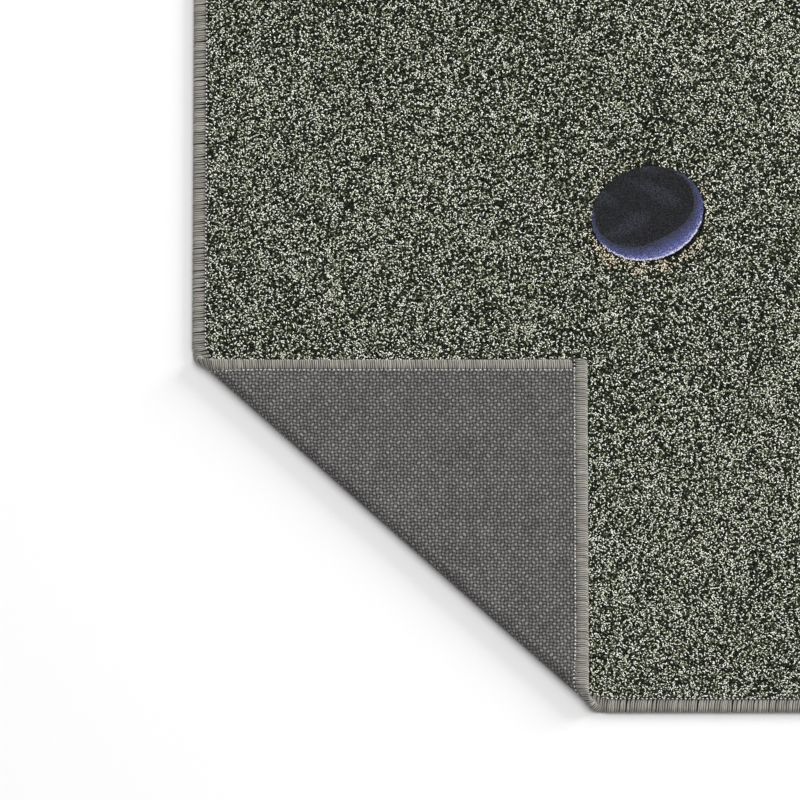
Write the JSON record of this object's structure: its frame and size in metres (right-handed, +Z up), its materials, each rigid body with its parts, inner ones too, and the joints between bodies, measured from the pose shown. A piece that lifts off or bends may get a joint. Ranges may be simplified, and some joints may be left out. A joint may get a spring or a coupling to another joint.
{
  "type": "practice putting mat",
  "caption": "Rectangular tufted golf putting mat with overcast edges and a hole printed on the pile; one corner is folded over and opens flat on the floor.",
  "frame": {"origin": "on the floor under the middle of the mat's footprint", "axes": "+Z up from the floor, +X to the right across the mat, +Y along the mat from the front edge to the far edge; the folded corner is at -X, -Y"},
  "size_m": [0.914, 1.524, 0.016],
  "materials": {
    "pile": "short cut pile of thick grey-green heather yarn",
    "printed_pile": "the same pile printed nearly black, with a blue-violet crescent and a sand rim",
    "primary_backing": "plain woven tape scrim",
    "latex_coat": "dull cured latex",
    "secondary_backing": "coarse plain weave in grey yarn",
    "binding_yarn": "taupe-grey overcasting yarn wrapped round the edge",
    "locking_thread": "pale grey chain stitch"
  },
  "bodies": {
    "mat": {"mat_secondary_backing": "secondary_backing", "mat_latex_coat": "latex_coat", "mat_primary_backing": "primary_backing", "mat_pile": "pile", "mat_printed_hole": "printed_pile", "mat_front_binding": "binding_yarn", "mat_front_face_thread": "locking_thread", "mat_front_back_thread": "locking_thread", "mat_far_binding": "binding_yarn", "mat_far_face_thread": "locking_thread", "mat_far_back_thread": "locking_thread", "mat_left_binding": "binding_yarn", "mat_left_face_thread": "locking_thread", "mat_left_back_thread": "locking_thread", "mat_right_binding": "binding_yarn", "mat_right_face_thread": "locking_thread", "mat_right_back_thread": "locking_thread"},
    "strip1": {"strip1_secondary_backing": "secondary_backing", "strip1_latex_coat": "latex_coat", "strip1_primary_backing": "primary_backing", "strip1_pile": "pile", "strip1_front_binding": "binding_yarn", "strip1_front_face_thread": "locking_thread", "strip1_front_back_thread": "locking_thread", "strip1_left_binding": "binding_yarn", "strip1_left_face_thread": "locking_thread", "strip1_left_back_thread": "locking_thread"},
    "strip2": {"strip2_secondary_backing": "secondary_backing", "strip2_latex_coat": "latex_coat", "strip2_primary_backing": "primary_backing", "strip2_pile": "pile", "strip2_front_binding": "binding_yarn", "strip2_front_face_thread": "locking_thread", "strip2_front_back_thread": "locking_thread", "strip2_left_binding": "binding_yarn", "strip2_left_face_thread": "locking_thread", "strip2_left_back_thread": "locking_thread"},
    "strip3": {"strip3_secondary_backing": "secondary_backing", "strip3_latex_coat": "latex_coat", "strip3_primary_backing": "primary_backing", "strip3_pile": "pile", "strip3_front_binding": "binding_yarn", "strip3_front_face_thread": "locking_thread", "strip3_front_back_thread": "locking_thread", "strip3_left_binding": "binding_yarn", "strip3_left_face_thread": "locking_thread", "strip3_left_back_thread": "locking_thread"},
    "flap": {"flap_secondary_backing": "secondary_backing", "flap_latex_coat": "latex_coat", "flap_primary_backing": "primary_backing", "flap_pile": "pile", "flap_front_binding": "binding_yarn", "flap_front_face_thread": "locking_thread", "flap_front_back_thread": "locking_thread", "flap_left_binding": "binding_yarn", "flap_left_face_thread": "locking_thread", "flap_left_back_thread": "locking_thread"}
  },
  "joints": [
    {"name": "fold_hinge_1", "type": "hinge", "parent": "mat", "child": "strip1", "pos_m": [-0.25181, -0.55681, 0], "axis": [0.7071, -0.7071, 0], "range_deg": [0, 45]},
    {"name": "fold_hinge_2", "type": "hinge", "parent": "strip1", "child": "strip2", "pos_m": [-0.25512, -0.56012, 0.00469], "axis": [0.7071, -0.7071, 0], "range_deg": [0, 45]},
    {"name": "fold_hinge_3", "type": "hinge", "parent": "strip2", "child": "strip3", "pos_m": [-0.25512, -0.56012, 0.01131], "axis": [0.7071, -0.7071, 0], "range_deg": [0, 45]},
    {"name": "fold_hinge_4", "type": "hinge", "parent": "strip3", "child": "flap", "pos_m": [-0.25181, -0.55681, 0.016], "axis": [0.7071, -0.7071, 0], "range_deg": [0, 45]}
  ],
  "couplings": [
    {"joint": "fold_hinge_2", "follows": "fold_hinge_1", "ratio": 1},
    {"joint": "fold_hinge_3", "follows": "fold_hinge_1", "ratio": 1},
    {"joint": "fold_hinge_4", "follows": "fold_hinge_1", "ratio": 1}
  ]
}
